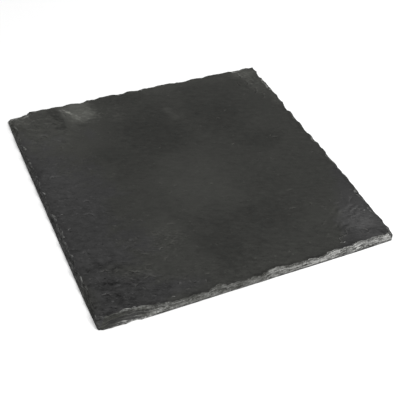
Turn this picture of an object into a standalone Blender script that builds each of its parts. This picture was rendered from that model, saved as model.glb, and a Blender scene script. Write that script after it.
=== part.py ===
"""A square slate slab, split from the block and dressed on its four sides.

The underside is flat and keeps the straight outline of the cut. Above it the sides are
chipped: flakes have sprung off towards the top face and left a row of scoops, crossed by
thin ledges where the stone parted along its layers. The top face is cleft, so it is
nearly flat but never quite.

Metres, +Z up. The origin is at the bottom centre. The front side faces -Y, and the sides
are counted anticlockwise from it: front, right, back, left.
"""

import math
import random

import bpy
import numpy as np
from mathutils import Vector, noise
from mathutils.geometry import delaunay_2d_cdt

MM = 0.001

# The plate.
SIDE = 250 * MM
THICK = 6 * MM
SEED = 11

# The dressed sides: a cut wall that leans in, then a bevel up to the top face.
WALL_LEAN = 0.4 * MM
WALL_TOP = 0.45  # share of the thickness
BEVEL = 0.7 * MM
SIDE_WANDER = 0.25 * MM
WANDER_LENGTH = 9 * MM

# The corners, from the one between left and front: how much of each tip is gone.
TIP_LOSS = (1.2 * MM, 2.0 * MM, 0.8 * MM, 1.4 * MM)
TIP_RUN = 3.5 * MM
CORNER_DRIFT = 0.6 * MM
DRIFT_RUN = 32 * MM

# Where the foot of a side is broken back: side, place, half width and depth, in millimetres.
FOOT_DIPS = ((0, -121, 7, 0.7), (0, -112, 9, 0.4), (0, -99, 6, 0.9))

# The layers that the broken sides show: their tops as shares of the thickness, how much
# these rise and fall along a side, and how ragged and how upright each broken layer is.
LEDGE_TOPS = (0.34, 0.58, 0.8, 1.0)
LEDGE_RISE = 0.35 * MM
LEDGE_WANDER = 0.35 * MM
LEDGE_LENGTH = 6 * MM
LEDGE_LEAN = 0.5 * MM
LEAN_LENGTH = 17 * MM
LEAST_TREAD = 0.08 * MM

# The cleft top face: low swells, longer along X than across.
SWELL = 0.22 * MM
SWELL_LONG = 70 * MM
SWELL_ACROSS = 28 * MM

# Spacing of the mesh along the sides, over the top face and over the underside.
SIDE_STEP = 2.4 * MM
FACE_STEP = 8.5 * MM
UNDER_STEP = 24 * MM

# Chips along each side, as seen from outside it, in millimetres: place from the middle of
# the side (positive to the right), half width, and reach in from the side at the top face.
FRONT_CHIPS = (
    (-66, 10, 2.6), (-50, 9, 2.8), (-33, 8, 4.4), (-17, 11, 2.3), (-4, 7, 2.6),
    (17, 13, 4.2), (31, 8, 2.8), (43, 10, 2.4), (65, 9, 3.0), (73, 9, 3.7), (80, 8, 3.7),
    (92, 8, 4.4), (96, 7, 5.0), (105, 9, 4.2), (112, 7, 3.3), (118, 6, 2.4),
)
RIGHT_CHIPS = (
    (-124, 9, 3.4), (-112, 6, 2.9), (-95, 9, 4.0), (-84, 8, 3.5), (-75, 5, 3.0),
    (-59, 5, 2.2), (-42, 9, 2.3), (-24, 8, 2.5), (-8, 5, 2.2), (2, 5, 2.8),
    (18, 10, 4.1), (36, 9, 3.8), (54, 8, 4.8), (68, 7, 2.9), (80, 7, 2.9),
    (92, 8, 3.2), (110, 7, 4.2), (120, 5, 2.6),
    (-90, 36, 2.5), (30, 34, 2.4), (96, 26, 2.9),
)
BACK_CHIPS = (
    (-121, 5, 2.4), (-105, 9, 3.0), (-90, 8, 2.6), (-68, 8, 3.0), (-48, 9, 3.8),
    (-38, 7, 2.7), (-14, 7, 2.2), (1, 7, 2.6), (18, 8, 2.7), (45, 7, 3.0),
    (59, 9, 3.7), (76, 7, 3.4), (88, 6, 2.8), (99, 5, 2.4),
    (-80, 46, 2.0), (8, 15, 1.6), (76, 36, 2.3),
)
LEFT_CHIPS = (
    (-117, 9, 3.7), (-103, 9, 4.1), (-90, 8, 3.4), (-76, 9, 4.2), (-61, 9, 3.5),
    (-47, 8, 3.9), (-30, 12, 3.6), (-14, 8, 4.2), (1, 9, 3.4), (15, 9, 3.9),
    (31, 10, 4.4), (47, 9, 3.5), (62, 9, 4.0), (78, 9, 3.6), (93, 9, 4.2),
    (107, 8, 3.6),
    (0, 130, 1.8),
)

# Broad thin flakes that ran far in: side, then place, half width and reach as above,
# the share of the thickness where the scar starts, and how hollow the scar is (under 1
# is a scoop with a steep lip at the top face).
BROAD_FLAKES = (
    (0, -110, 22, 7.8, 0.30, 0.45),
    (0, -96, 18, 6.6, 0.32, 0.50),
    (0, -82, 13, 4.6, 0.35, 0.60),
    (2, 121, 15, 7.6, 0.20, 0.40),
    (3, -124, 9, 6.0, 0.42, 0.60),
)

# A flake that reached far in also started low on the side.
START_OF_SHALLOW = 0.62  # share of the thickness, for a flake that hardly reached in
START_DROP = 0.09  # less for each millimetre of reach
START_JITTER = 0.06
HOLLOW_RANGE = (0.5, 0.9)

STONE_COLOUR = (0.040, 0.041, 0.039, 1.0)
STONE_ROUGHNESS = 0.68


def every_chip():
    """All chips as (place round the outline, half width, reach, start height, hollow)."""
    draw = random.Random(SEED)
    chips = list(BROAD_FLAKES)
    for side, row in enumerate((FRONT_CHIPS, RIGHT_CHIPS, BACK_CHIPS, LEFT_CHIPS)):
        for place, half, reach in row:
            start = START_OF_SHALLOW - START_DROP * reach + draw.uniform(-START_JITTER, START_JITTER)
            chips.append((side, place, half, reach, start, draw.uniform(*HOLLOW_RANGE)))
    return [
        ((side + 0.5) * SIDE + place * MM, half * MM, reach * MM, start * THICK, hollow)
        for side, place, half, reach, start, hollow in chips
    ]


def outline(run):
    """Points of the plain square, at distances run along it from its front left corner."""
    side = np.floor(run / SIDE)
    along = run - (side + 0.5) * SIDE
    turn = side * math.pi / 2
    x = along * np.cos(turn) + SIDE / 2 * np.sin(turn)
    y = along * np.sin(turn) - SIDE / 2 * np.cos(turn)
    return np.stack([x, y], axis=-1)


def wander(points, length, layer):
    """Smooth noise between -1 and 1, one value a point, in bumps about this long."""
    return np.array([noise.noise(Vector((x / length, y / length, layer + 0.5))) for x, y in points])


def corner_wear(run):
    """The sides fall away a little towards each corner, and each corner has lost its tip."""
    corner = np.round(run / SIDE)
    off = np.abs(run - corner * SIDE)
    loss = np.take(TIP_LOSS, corner.astype(int) % 4)
    tip = loss * np.clip(1 - off / TIP_RUN, 0, 1) ** 1.5
    return tip + CORNER_DRIFT * np.clip(1 - off / DRIFT_RUN, 0, 1)


def foot_dip(run):
    """How far the foot of the side is broken back."""
    dips = [
        depth * MM * np.clip(1 - ((run - (side + 0.5) * SIDE) / MM - place) ** 2 / half**2, 0, 1)
        for side, place, half, depth in FOOT_DIPS
    ]
    return np.max(dips, axis=0)


def scoop(run, height, chip):
    """How far in one chip has taken the side at this height."""
    place, half, reach, start, hollow = chip
    off = (run - place + 2 * SIDE) % (4 * SIDE) - 2 * SIDE
    bowl = np.sqrt(np.clip(1 - (off / half) ** 2, 0, 1))
    lowest = THICK - (THICK - start) * np.sqrt(bowl)
    climb = np.clip((height - lowest) / np.maximum(THICK - lowest, 0.01 * MM), 0, 1)
    return reach * bowl * climb**hollow


def inset(run, height, chips):
    """How far in from the plain square the side stands at this height."""
    over_wall = np.clip((height / THICK - WALL_TOP) / (1 - WALL_TOP), 0, 1)
    plain = WALL_LEAN * height / THICK + BEVEL * over_wall
    deepest = np.max([scoop(run, height, chip) for chip in chips], axis=0)
    return np.maximum(plain, deepest)


def swell(points):
    """The cleft face's height above or below the mean thickness."""
    return np.array([
        SWELL * noise.noise(Vector((x / SWELL_LONG, y / SWELL_ACROSS, SEED))) for x, y in points
    ])


def layer_tops(square):
    """The height of each layer's top at every point of the outline, the face's last."""
    tops = [
        share * THICK + LEDGE_RISE * wander(square, LEAN_LENGTH, layer)
        for layer, share in enumerate(LEDGE_TOPS[:-1])
    ]
    return tops + [np.full(len(square), THICK)]


def side_rings():
    """Rings of points from the underside's outline up to the top face, two for each layer."""
    run = np.linspace(0, 4 * SIDE, round(4 * SIDE / SIDE_STEP), endpoint=False)
    square = outline(run)
    chips = every_chip()
    worn = corner_wear(run) + foot_dip(run)
    worn = worn + SIDE_WANDER * (0.5 + 0.5 * wander(square, WANDER_LENGTH, 0))
    lean = LEDGE_LEAN * (1 + wander(square, LEAN_LENGTH, len(LEDGE_TOPS))) / 2
    below = np.zeros_like(run)
    foot = worn
    rings = []
    for layer, top in enumerate(layer_tops(square)):
        if layer > 0:
            ragged = LEDGE_WANDER * wander(square, LEDGE_LENGTH, layer)
            broken = worn + inset(run, (below + top) / 2, chips) + ragged
            foot = np.maximum(broken - lean, head + LEAST_TREAD)
        highest = top if top[0] == THICK else (below + top) / 2
        head = np.maximum(worn + inset(run, highest, chips), foot + LEAST_TREAD)
        for depth, height in ((foot, below), (head, top)):
            flat = square * (1 - depth / (SIDE / 2))[:, None]
            rings.append(np.column_stack([flat, height * (1 + swell(flat) / THICK)]))
        below = top
    return rings


def net(reach, step):
    """A net of staggered points that covers a square of this half width."""
    rows = np.arange(-reach, reach, step * math.sqrt(3) / 2)
    return [
        (x + step / 2 * (row % 2), y)
        for row, y in enumerate(rows)
        for x in np.arange(-reach, reach, step)
    ]


def sheet(ring, step, clear):
    """Triangles that fill a closed ring, over a net kept clear of the ring."""
    reach = SIDE / 2 - clear
    inner = [p for p in net(reach, step) if max(abs(p[0]), abs(p[1])) < reach]
    flat = [Vector(p[:2]) / MM for p in ring] + [Vector(p) / MM for p in inner]
    loop = [(i, (i + 1) % len(ring)) for i in range(len(ring))]
    points, _, faces, _, _, _ = delaunay_2d_cdt(flat, loop, [], 1, 1e-4)
    if len(points) != len(flat):
        raise ValueError("two points of the net fell together")
    return inner, faces


def slab_mesh():
    """The closed plate: its underside, its sides layer by layer, and its top face."""
    rings = side_rings()
    count = len(rings[0])
    points = [tuple(p) for ring in rings for p in ring]
    faces = []
    for level in range(len(rings) - 1):
        low = level * count
        for i in range(count):
            j = (i + 1) % count
            faces.append((low + i, low + j, low + count + j, low + count + i))

    under, under_faces = sheet(rings[0], UNDER_STEP, UNDER_STEP)
    shift = len(points) - count
    points += [(x, y, 0.0) for x, y in under]
    faces += [tuple(v if v < count else v + shift for v in face)[::-1] for face in under_faces]

    top, top_faces = sheet(rings[-1], FACE_STEP, 2 * FACE_STEP)
    first = (len(rings) - 1) * count
    shift = len(points) - count
    points += [(x, y, THICK + lift) for (x, y), lift in zip(top, swell(top))]
    faces += [tuple(v + first if v < count else v + shift for v in face) for face in top_faces]

    mesh = bpy.data.meshes.new("slab")
    mesh.from_pydata(points, [], faces)
    mesh.validate()
    return mesh


def slate():
    """Dark grey slate with a dull cleft face."""
    material = bpy.data.materials.new("slate")
    material.use_nodes = True
    shader = material.node_tree.nodes["Principled BSDF"]
    shader.inputs["Base Color"].default_value = STONE_COLOUR
    shader.inputs["Roughness"].default_value = STONE_ROUGHNESS
    shader.inputs["Metallic"].default_value = 0.0
    return material


def main():
    for obj in list(bpy.data.objects):
        bpy.data.objects.remove(obj)
    collection = bpy.data.collections.new("slate_slab")
    bpy.context.scene.collection.children.link(collection)
    slab = bpy.data.objects.new("slab", slab_mesh())
    slab.data.materials.append(slate())
    collection.objects.link(slab)


main()
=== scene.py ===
"""A square slate slab, split from the block and dressed on its four sides.

The sides are broken stone: scoops where flakes sprang off, crossed by the thin ledges of
the layers, over a low cut wall. The face is cleft, so it is nearly flat, with low swells,
thin steps and a few scars. Broken stone is pale with dust, cleft stone is dark.

Metres, +Z up. The origin is at the bottom centre. The front side faces -Y, and the sides
are counted anticlockwise from it: front, right, back, left.
"""

import math
import random

import bpy
import numpy as np
from mathutils import Matrix, Vector, noise
from mathutils.geometry import delaunay_2d_cdt
from mathutils.kdtree import KDTree


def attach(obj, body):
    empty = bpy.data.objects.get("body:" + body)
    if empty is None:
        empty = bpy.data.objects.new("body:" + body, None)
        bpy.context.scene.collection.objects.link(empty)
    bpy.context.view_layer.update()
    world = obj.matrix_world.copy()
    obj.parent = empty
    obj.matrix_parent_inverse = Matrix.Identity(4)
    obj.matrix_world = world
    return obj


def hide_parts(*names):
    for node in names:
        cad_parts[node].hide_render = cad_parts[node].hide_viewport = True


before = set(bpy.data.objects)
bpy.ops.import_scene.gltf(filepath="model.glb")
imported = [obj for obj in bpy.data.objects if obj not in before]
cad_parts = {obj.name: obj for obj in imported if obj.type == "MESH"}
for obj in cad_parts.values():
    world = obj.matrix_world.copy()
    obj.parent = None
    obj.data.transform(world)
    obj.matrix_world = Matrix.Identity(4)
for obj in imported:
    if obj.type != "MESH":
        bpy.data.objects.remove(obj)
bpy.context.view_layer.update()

MM = 0.001

# The plate.
SIDE = 250 * MM
THICK = 6 * MM
SEED = 11

# The dressed sides: a cut wall that leans in, then a bevel up to the face.
WALL_LEAN = 0.4 * MM
WALL_TOP = 0.45  # share of the thickness
BEVEL = 0.7 * MM
SIDE_WANDER = 0.25 * MM
WANDER_LENGTH = 9 * MM

# The corners, from the one between left and front: how much of each tip is gone.
TIP_LOSS = (1.2 * MM, 2.0 * MM, 0.8 * MM, 1.4 * MM)
TIP_RUN = 3.5 * MM
TIP_HOLLOW = 1.5  # 1 is a straight cut across the corner
CORNER_DRIFT = 0.6 * MM
DRIFT_RUN = 32 * MM

# Where the foot of a side is broken back: side, place, half width and depth, in millimetres.
FOOT_DIPS = ((0, -121, 7, 0.7), (0, -112, 9, 0.4), (0, -99, 6, 0.9))

# The layers of the broken sides: their tops as shares of the thickness, how much they rise
# and fall together, and how ragged each one is broken, over long and over short lengths.
LAYER_TOPS = (0.09, 0.17, 0.29, 0.36, 0.46, 0.55, 0.61, 0.71, 0.79, 0.88, 0.95, 1.0)
LAYER_RISE = 0.30 * MM
RISE_LENGTH = 26 * MM
RAGGED = ((0.34 * MM, 5.5 * MM), (0.30 * MM, 2.1 * MM), (0.12 * MM, 0.9 * MM))
RAGGED_ON_WALL = 0.35  # share of the raggedness where nothing has broken away
RAGGED_IN_FULL = 2 * MM  # a side broken this far in has all of it
RAGGED_LEAD = 0.40 * MM  # a layer strays more outwards than inwards
LEAST_TREAD = 0.02 * MM
SHEAR = 1.1 * MM  # how far along the side each layer's break is shifted against the next
SHEAR_LENGTH = 5 * MM

# Patches of noise: their length, the share they cover and how sharply they end.
CRISP = (13 * MM, 0.55, 1.3)  # where a layer breaks off upright
WRINKLED = (8 * MM, 0.3, 1.6)  # where the wrinkles show
RIM_DARK = (12 * MM, 0.5, 1.6)  # where painted shade darkens the face beside the arris
SPOTTED = (2.2 * MM, 0.6, 2.4)  # where dust lies on the lips of all sides but the front
THICKEST_SPOT = 1.6

# Each kind of noise has a number. A layer takes its kind's number and its own together.
CRISP_NOISE = 20
RAGGED_NOISE = 40  # once more for each shorter length
SHEAR_NOISE = 60
RIM_NOISE = 70
DRIFT_NOISE = 80
WRINKLE_NOISE = 90
SPOT_NOISE = 95

# Tiny chips on top of the big ones: how many, between which distances round the outline,
# their half widths, reaches and start heights. A nibble is a notch in the arris, and a spall
# is a thin shell that sprang off the face's edge.
NIBBLES = (260, (0, 1000 * MM), (0.7 * MM, 3.0 * MM), (0.1 * MM, 0.6 * MM), (0.45, 0.85))
SPALLS = (150, (0, 1000 * MM), (1.2 * MM, 5.0 * MM), (0.3 * MM, 1.5 * MM), (0.84, 0.94))
WIDE_SPALLS = (72, (250 * MM, 750 * MM), (2 * MM, 9 * MM), (0.8 * MM, 3.4 * MM), (0.88, 0.95))

# Shells on the cleft face: where one sprang off and left a low curved lip. Each has its
# place, half width, which way it ran in degrees, and the drop at its lip, in millimetres.
SHELLS = (
    (107, -90, 5.0, 20, 0.30), (98, -93, 6.5, 200, 0.26), (84, -108, 6.0, 215, 0.24),
    (112, -78, 4.0, 35, 0.24), (103, 100, 5.5, 250, 0.30), (106, 86, 5.0, 240, 0.34),
    (109, 76, 4.5, 235, 0.26), (101, 113, 6.0, 265, 0.26), (-73, 111, 8.0, 115, 0.30),
    (-62, 99, 6.0, 130, 0.28), (-92, 97, 9.0, -30, 0.24), (-104, 84, 6.0, -15, 0.24),
    (-108, 30, 5.0, -10, 0.24), (-96, -20, 5.0, -25, 0.20), (-85, -88, 6.0, -20, 0.26),
    (-75, -96, 5.0, -10, 0.24), (-104, -80, 5.0, -30, 0.26), (-110, -100, 4.0, -20, 0.24),
    (-45, 99, 3.0, -20, 0.20), (-40, -52, 3.5, -15, 0.18), (60, -70, 3.0, -10, 0.18),
    (90, 16, 3.0, -20, 0.22), (54, 58, 2.4, -20, 0.20), (69, -50, 3.0, 0, 0.18),
)

# Where small shells crowd together: middle and half sizes of the area, how many, which way
# they mostly run in degrees, and their half widths, in millimetres.
CROWDS = (
    (-98, -10, 24, 112, 60, -20, (0.8, 2.6)),
    (-78, -78, 44, 42, 50, -15, (0.8, 3.0)),
    (98, -94, 24, 28, 44, 15, (0.8, 3.2)),
    (106, 98, 16, 24, 16, -60, (0.8, 2.4)),
    (-84, 100, 36, 22, 30, -20, (0.8, 2.6)),
    (10, 0, 110, 115, 50, -20, (0.7, 1.8)),
)
CROWD_STRAY = 35  # degrees

# Where the cleft face is wrinkled: middle and half sizes of the area, how far the crests turn
# from X in degrees, their spacing and their height, in millimetres.
WRINKLES = (
    (100, -96, 22, 20, 24, 5.2, 0.40),
    (-96, -84, 30, 24, -20, 6.0, 0.16),
    (-92, 96, 34, 24, -30, 8.0, 0.16),
    (104, 98, 16, 22, -55, 6.0, 0.20),
)
WRINKLE_DRIFT = 4 * MM  # how far the crests stray from straight lines
DRIFT_LENGTH = 9 * MM
# Crests are marked pale, as wear and painted highlight; hollows dark, as painted shade.
CREST_FULL = 0.3 * MM  # the height or drop at which an edge is marked in full
CREST_RUN = 0.7 * MM  # how far the mark reaches from a lip

# The form of every shell.
SHELL_DROP = (0.10, 0.24)  # of those in the crowds, in millimetres
SHELL_BOW = 0.45  # how far a lip bows out, as a share of its half width
SHELL_FRAY = 0.10
FRAY_WAVES = ((1.0, 5, 1), (0.6, 13, 2))  # height, how close, how far a shell shifts them
SHELL_RUN = 1.8  # how far in a scar fades out, as a share of its half width
LIP_WIDTH = 0.30 * MM
LIP_OVER = 0.02 * MM  # the upper edge stands this far out from the lip's line
LIP_STEP = 0.7 * MM
LEAST_LIP = 5  # points along the shortest lip
LIP_CLEAR = 0.22 * MM  # lip points stand at least this far apart
NET_CLEAR = 0.75 * MM  # and the net's points this far from them

# The cleft face: low swells, longer along X than across.
SWELL = 0.22 * MM
SWELL_LONG = 70 * MM
SWELL_ACROSS = 28 * MM

# The face just inside the arris: rings at these distances, and how much it falls there.
RIM_RINGS = (0.35 * MM, 0.9 * MM, 1.8 * MM, 3.0 * MM)
RIM_FALL = 0.07 * MM
RIM_FALL_RUN = 0.9 * MM
RIM_CLEFT = (0.4, 1)  # share of the cleft relief on the outermost and the innermost ring
RIM_SHADE = 0.7  # how much darker the painted shade makes its darkest stretches
RIM_SHADED = 3  # rings
RIM_SHADE_ELSEWHERE = 0.35  # share of it on the other sides than the front

# Spacing of the mesh along the sides, over the face and over the underside.
SIDE_STEP = 0.6 * MM
FACE_STEP = 1.6 * MM
UNDER_STEP = 4 * MM
NET_SHAKE = 0.15  # how far each point of a net is off its place, as a share of the spacing
HAIR = 0.01 * MM  # too small to see

# Chips along each side, as seen from outside it, in millimetres: place from the middle of
# the side (positive to the right), half width, and reach in from the side at the face.
FRONT_CHIPS = (
    (-66, 10, 2.6), (-50, 9, 2.8), (-33, 8, 4.4), (-17, 11, 2.3), (-4, 7, 2.6),
    (17, 13, 4.2), (31, 8, 2.8), (43, 10, 2.4), (65, 9, 3.0), (73, 9, 3.7), (80, 8, 3.7),
    (92, 8, 4.4), (96, 7, 5.0), (105, 9, 4.2), (112, 7, 3.3), (118, 6, 2.4),
)
RIGHT_CHIPS = (
    (-124, 9, 3.4), (-112, 6, 2.9), (-95, 9, 4.0), (-84, 8, 3.5), (-75, 5, 3.0),
    (-59, 5, 2.2), (-42, 9, 2.3), (-24, 8, 2.5), (-8, 5, 2.2), (2, 5, 2.8),
    (18, 10, 4.1), (36, 9, 3.8), (54, 8, 4.8), (68, 7, 2.9), (80, 7, 2.9),
    (92, 8, 3.2), (110, 7, 4.2), (120, 5, 2.6),
    (-90, 36, 2.5), (30, 34, 2.4), (96, 26, 2.9),
)
BACK_CHIPS = (
    (-121, 5, 2.4), (-105, 9, 3.0), (-90, 8, 2.6), (-68, 8, 3.0), (-48, 9, 3.8),
    (-38, 7, 2.7), (-14, 7, 2.2), (1, 7, 2.6), (18, 8, 2.7), (45, 7, 3.0),
    (59, 9, 3.7), (76, 7, 3.4), (88, 6, 2.8), (99, 5, 2.4),
    (-80, 46, 2.0), (8, 15, 1.6), (76, 36, 2.3),
)
LEFT_CHIPS = (
    (-117, 9, 3.7), (-103, 9, 4.1), (-90, 8, 3.4), (-76, 9, 4.2), (-61, 9, 3.5),
    (-47, 8, 3.9), (-30, 12, 3.6), (-14, 8, 4.2), (1, 9, 3.4), (15, 9, 3.9),
    (31, 10, 4.4), (47, 9, 3.5), (62, 9, 4.0), (78, 9, 3.6), (93, 9, 4.2),
    (107, 8, 3.6),
    (0, 130, 1.8),
)

# Broad thin flakes that ran far in: side, then place, half width and reach as above,
# the share of the thickness where the scar starts, and how hollow the scar is.
BROAD_FLAKES = (
    (0, -110, 22, 7.8, 0.30, 0.45),
    (0, -96, 18, 6.6, 0.32, 0.50),
    (0, -82, 13, 4.6, 0.35, 0.60),
    (2, 121, 15, 7.6, 0.20, 0.40),
    (3, -124, 9, 6.0, 0.42, 0.60),
)

# A flake that reached far in also started low on the side.
START_OF_SHALLOW = 0.62  # share of the thickness, for a flake that hardly reached in
START_DROP = 0.09  # less for each millimetre of reach
START_JITTER = 0.06
HOLLOW_RANGE = (0.5, 0.9)

# The dust on the broken stone along the outline: distance round it from the front left
# corner in millimetres, the share of the stone that is covered on the middle of the side, on
# its foot and on the lip of the face, and how high the foot reaches in millimetres.
DUST = (
    (0, 0.03, 0.03, 0.05, 1.5), (4, 0.03, 0.08, 0.10, 1.5), (12, 0.03, 0.40, 0.16, 1.6),
    (20, 0.06, 0.75, 0.26, 1.9), (32, 0.14, 0.80, 0.34, 2.2), (38, 0.25, 0.50, 0.26, 2.0),
    (42, 0.36, 0.24, 0.24, 1.6), (52, 0.34, 0.22, 0.24, 1.5), (60, 0.29, 0.22, 0.24, 1.4),
    (84, 0.26, 0.22, 0.22, 1.4), (100, 0.23, 0.22, 0.19, 1.4), (112, 0.23, 0.22, 0.19, 1.4),
    (130, 0.26, 0.22, 0.22, 1.4), (146, 0.40, 0.22, 0.28, 1.5), (168, 0.56, 0.18, 0.38, 1.5),
    (188, 0.66, 0.17, 0.46, 1.6), (208, 0.76, 0.17, 0.54, 1.6), (228, 0.86, 0.26, 0.64, 1.7),
    (246, 0.88, 0.34, 0.68, 1.7), (249, 0.60, 0.26, 0.24, 1.7), (252, 0.30, 0.20, 0.04, 1.5),
    (268, 0.30, 0.18, 0.10, 1.4), (276, 0.30, 0.18, 0.46, 1.4), (290, 0.28, 0.18, 0.46, 1.4),
    (298, 0.28, 0.18, 0.16, 1.4), (330, 0.26, 0.18, 0.12, 1.4), (440, 0.22, 0.18, 0.16, 1.4),
    (466, 0.24, 0.18, 0.22, 1.4), (474, 0.26, 0.18, 0.40, 1.4), (494, 0.40, 0.18, 0.46, 1.4),
    (508, 0.42, 0.18, 0.46, 1.4), (526, 0.34, 0.18, 0.30, 1.4), (540, 0.22, 0.18, 0.22, 1.4),
    (560, 0.22, 0.18, 0.14, 1.4), (650, 0.24, 0.18, 0.14, 1.4), (690, 0.26, 0.18, 0.24, 1.4),
    (728, 0.26, 0.16, 0.36, 1.4), (734, 0.36, 0.18, 0.50, 1.4), (748, 0.38, 0.18, 0.50, 1.4),
    (754, 0.10, 0.05, 0.26, 1.1), (800, 0.08, 0.05, 0.18, 1.1), (900, 0.09, 0.05, 0.17, 1.1),
    (960, 0.09, 0.05, 0.18, 1.1), (990, 0.05, 0.03, 0.10, 1.2), (1000, 0.03, 0.03, 0.05, 1.5),
)
DUST_NAMES = ("dust", "dusty_foot", "dusty_lip", "foot_top")

DUST_EDGE = (107 * MM, 117 * MM)  # the dust thins out from the second to the first
DUST_WITHIN = 0.06  # share of the palest dust on what is broken in the middle of the face

# A face of the mesh counts as broken stone where it leans: its normal's rise, and by how
# much less that is where the break is full.
FLAT = 0.985
STEEPENS = 0.16
SIDE_FLAT = 1.0005  # on the sides even the gentlest slope is a break
SIDE_STEEPENS = 0.004
DOWNWARDS = -0.5  # what leans further is the underside, which isn't broken
# Close to the arris of the right and back sides, what is steep takes the dark foot colour as
# painted shade: from what height, and between which rises of the normal the dust begins again.
STEEP_SHADE_FROM = 4.4 * MM
STEEP = (0.50, 0.80)

# Where the camera stands: degrees round from the front, degrees up, degrees it leans, what
# it looks at, how far off it is, and its focal length as a share of the picture's width.
VIEW_AZIMUTH = -28.51
VIEW_ELEVATION = 43.70
VIEW_ROLL = 5.76
VIEW_TARGET = (-3.88 * MM, -28.8 * MM, 0)
VIEW_DISTANCE = 625.1 * MM
FOCAL_SHARE = 1.8995
SENSOR = 36.0
NEAREST = 10 * MM  # what is closer to the camera isn't drawn

# The setting.
FLOOR_HALF = 4.0
FLOOR_HEIGHT = -0.02 * MM
FLOOR_GREY = 0.90
SKY_STRENGTH = 0.50
# The lamps: name, place, width and watts.
LAMPS = (
    ("key", (0.55, -0.60, 1.05), 0.7, 12),
    ("top", (-0.1, 0.0, 1.3), 1.2, 6),
)


# ---- Shape -------------------------------------------------------------------------

def every_chip():
    """All chips as (place round the outline, half width, reach, start height, hollow)."""
    draw = random.Random(SEED)
    chips = list(BROAD_FLAKES)
    for side, row in enumerate((FRONT_CHIPS, RIGHT_CHIPS, BACK_CHIPS, LEFT_CHIPS)):
        for place, half, reach in row:
            jitter = draw.uniform(-START_JITTER, START_JITTER)
            start = START_OF_SHALLOW - START_DROP * reach + jitter
            chips.append((side, place, half, reach, start, draw.uniform(*HOLLOW_RANGE)))
    return [
        ((side + 0.5) * SIDE + place * MM, half * MM, reach * MM, start * THICK, hollow)
        for side, place, half, reach, start, hollow in chips
    ]


def every_nibble():
    """The tiny chips, in the same form as the big ones."""
    draw = random.Random(SEED + 1)
    return [
        (draw.uniform(*stretch), draw.uniform(*half), draw.uniform(*reach),
         draw.uniform(*start) * THICK, draw.uniform(*HOLLOW_RANGE))
        for count, stretch, half, reach, start in (NIBBLES, SPALLS, WIDE_SPALLS)
        for _ in range(count)
    ]


def outline(run):
    """Points of the plain square, at distances run along it from its front left corner."""
    side = np.floor(run / SIDE)
    along = run - (side + 0.5) * SIDE
    turn = side * math.pi / 2
    x = along * np.cos(turn) + SIDE / 2 * np.sin(turn)
    y = along * np.sin(turn) - SIDE / 2 * np.cos(turn)
    return np.stack([x, y], axis=-1)


def wander(points, length, kind=0):
    """Smooth noise between -1 and 1, one value a point, in bumps about this long."""
    level = kind + 0.5
    return np.array([noise.noise(Vector((x / length, y / length, level))) for x, y in points])


def patched(points, kind, length, share, sharp, most=1.0):
    """Patches of noise between 0 and the most."""
    return np.clip(share + sharp * wander(points, length, kind), 0, most)


def corner_wear(run):
    """The sides fall away a little towards each corner, and each corner has lost its tip."""
    corner = np.round(run / SIDE)
    off = np.abs(run - corner * SIDE)
    loss = np.take(TIP_LOSS, corner.astype(int) % 4)
    tip = loss * np.clip(1 - off / TIP_RUN, 0, 1) ** TIP_HOLLOW
    return tip + CORNER_DRIFT * np.clip(1 - off / DRIFT_RUN, 0, 1)


def foot_dip(run):
    """How far the foot of the side is broken back."""
    dips = [
        depth * MM * np.clip(1 - ((run - (side + 0.5) * SIDE) / MM - place) ** 2 / half**2, 0, 1)
        for side, place, half, depth in FOOT_DIPS
    ]
    return np.max(dips, axis=0)


def scoop(run, height, chip):
    """How far in one chip has taken the side at this height."""
    place, half, reach, start, hollow = chip
    off = (run - place + 2 * SIDE) % (4 * SIDE) - 2 * SIDE
    bowl = np.sqrt(np.clip(1 - (off / half) ** 2, 0, 1))
    lowest = THICK - (THICK - start) * np.sqrt(bowl)
    climb = np.clip((height - lowest) / np.maximum(THICK - lowest, HAIR), 0, 1)
    return reach * bowl * climb**hollow


def deepest(run, height, chips):
    """The reach of whichever chip took most at each point."""
    return np.max([scoop(run, height, chip) for chip in chips], axis=0)


def inset(run, height, chips, nibbles):
    """How far in from the plain square the side stands at this height."""
    over_wall = np.clip((height / THICK - WALL_TOP) / (1 - WALL_TOP), 0, 1)
    plain = WALL_LEAN * height / THICK + BEVEL * over_wall
    return np.maximum(plain, deepest(run, height, chips)) + deepest(run, height, nibbles)


def swell(points):
    """The cleft face's height above or below the mean thickness."""
    return np.array([
        SWELL * noise.noise(Vector((x / SWELL_LONG, y / SWELL_ACROSS, SEED))) for x, y in points
    ])


def wrinkles(points):
    """How far the wrinkles raise or lower the face at each point, and how far it is on a
    crest (1) or in a trough (-1)."""
    points = np.asarray(points)
    rise = np.zeros(len(points))
    crest = np.zeros(len(points))
    for x, y, long, across, turn, spacing, height in WRINKLES:
        off = points - (x * MM, y * MM)
        turn = math.radians(turn)
        along = off @ (math.cos(turn), math.sin(turn))
        ahead = off @ (-math.sin(turn), math.cos(turn))
        away = np.hypot(along / (long * MM), ahead / (across * MM))
        near = np.flatnonzero(away < 1)
        stray = WRINKLE_DRIFT * wander(points[near], DRIFT_LENGTH, DRIFT_NOISE)
        wave = np.sin(2 * math.pi * (ahead[near] + stray) / (spacing * MM))
        there = patched(points[near], WRINKLE_NOISE, *WRINKLED)
        wave = wave * there * (1 - away[near] ** 2)
        rise[near] += height * MM * wave
        crest[near] += height * MM / CREST_FULL * wave
    return rise, crest


def layer_tops(square):
    """The height of each layer's top at every point of the outline, the face's last."""
    rise = LAYER_RISE * wander(square, RISE_LENGTH)
    return [share * THICK + rise * math.sin(math.pi * share) for share in LAYER_TOPS]


def ragged_edge(square, layer):
    """How far one layer's broken edge strays, over long and short lengths together."""
    strays = [
        size * wander(square, length, layer + RAGGED_NOISE * step)
        for step, (size, length) in enumerate(RAGGED)
    ]
    return sum(strays) - RAGGED_LEAD


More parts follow.
